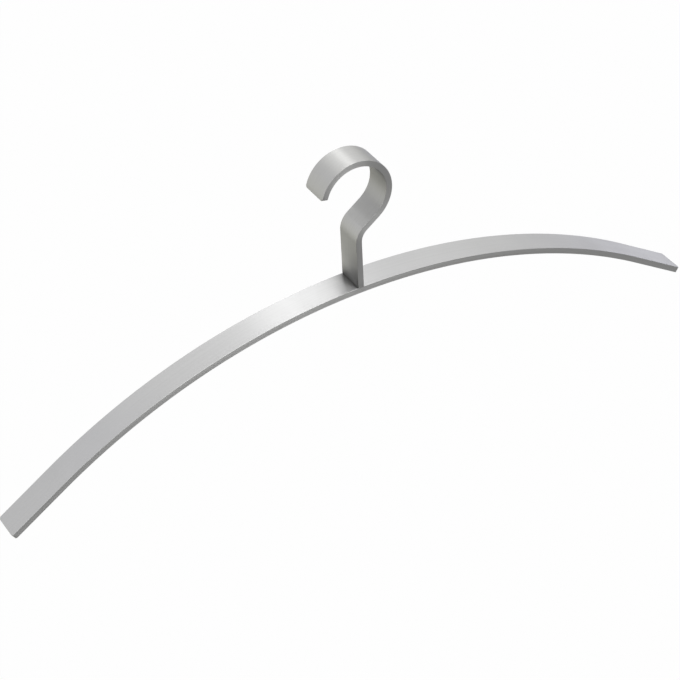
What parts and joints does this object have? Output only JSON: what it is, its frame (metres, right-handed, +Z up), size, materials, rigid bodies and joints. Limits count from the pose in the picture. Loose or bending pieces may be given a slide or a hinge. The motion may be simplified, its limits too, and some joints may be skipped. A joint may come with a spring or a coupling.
{
  "type": "clothes hanger",
  "caption": "Flat-bar aluminium clothes hanger: an arched bow with a bent flat-bar hook screwed upright on its middle.",
  "frame": {"origin": "inner top of the hook's loop, at mid-width, where a wardrobe rail carries the hanger", "axes": "+X along the bow towards the side the loop bulges to, +Y across the bar towards the back, +Z up"},
  "size_m": [0.4516, 0.018, 0.164],
  "materials": {
    "bow_aluminium": "satin, brushed along the bar",
    "hook_aluminium": "satin, brushed along the bar",
    "screw_steel": "plain stainless steel"
  },
  "bodies": {
    "root": {"bow": "bow_aluminium", "hook": "hook_aluminium", "hook_screw_front": "screw_steel", "hook_screw_back": "screw_steel"}
  },
  "joints": []
}
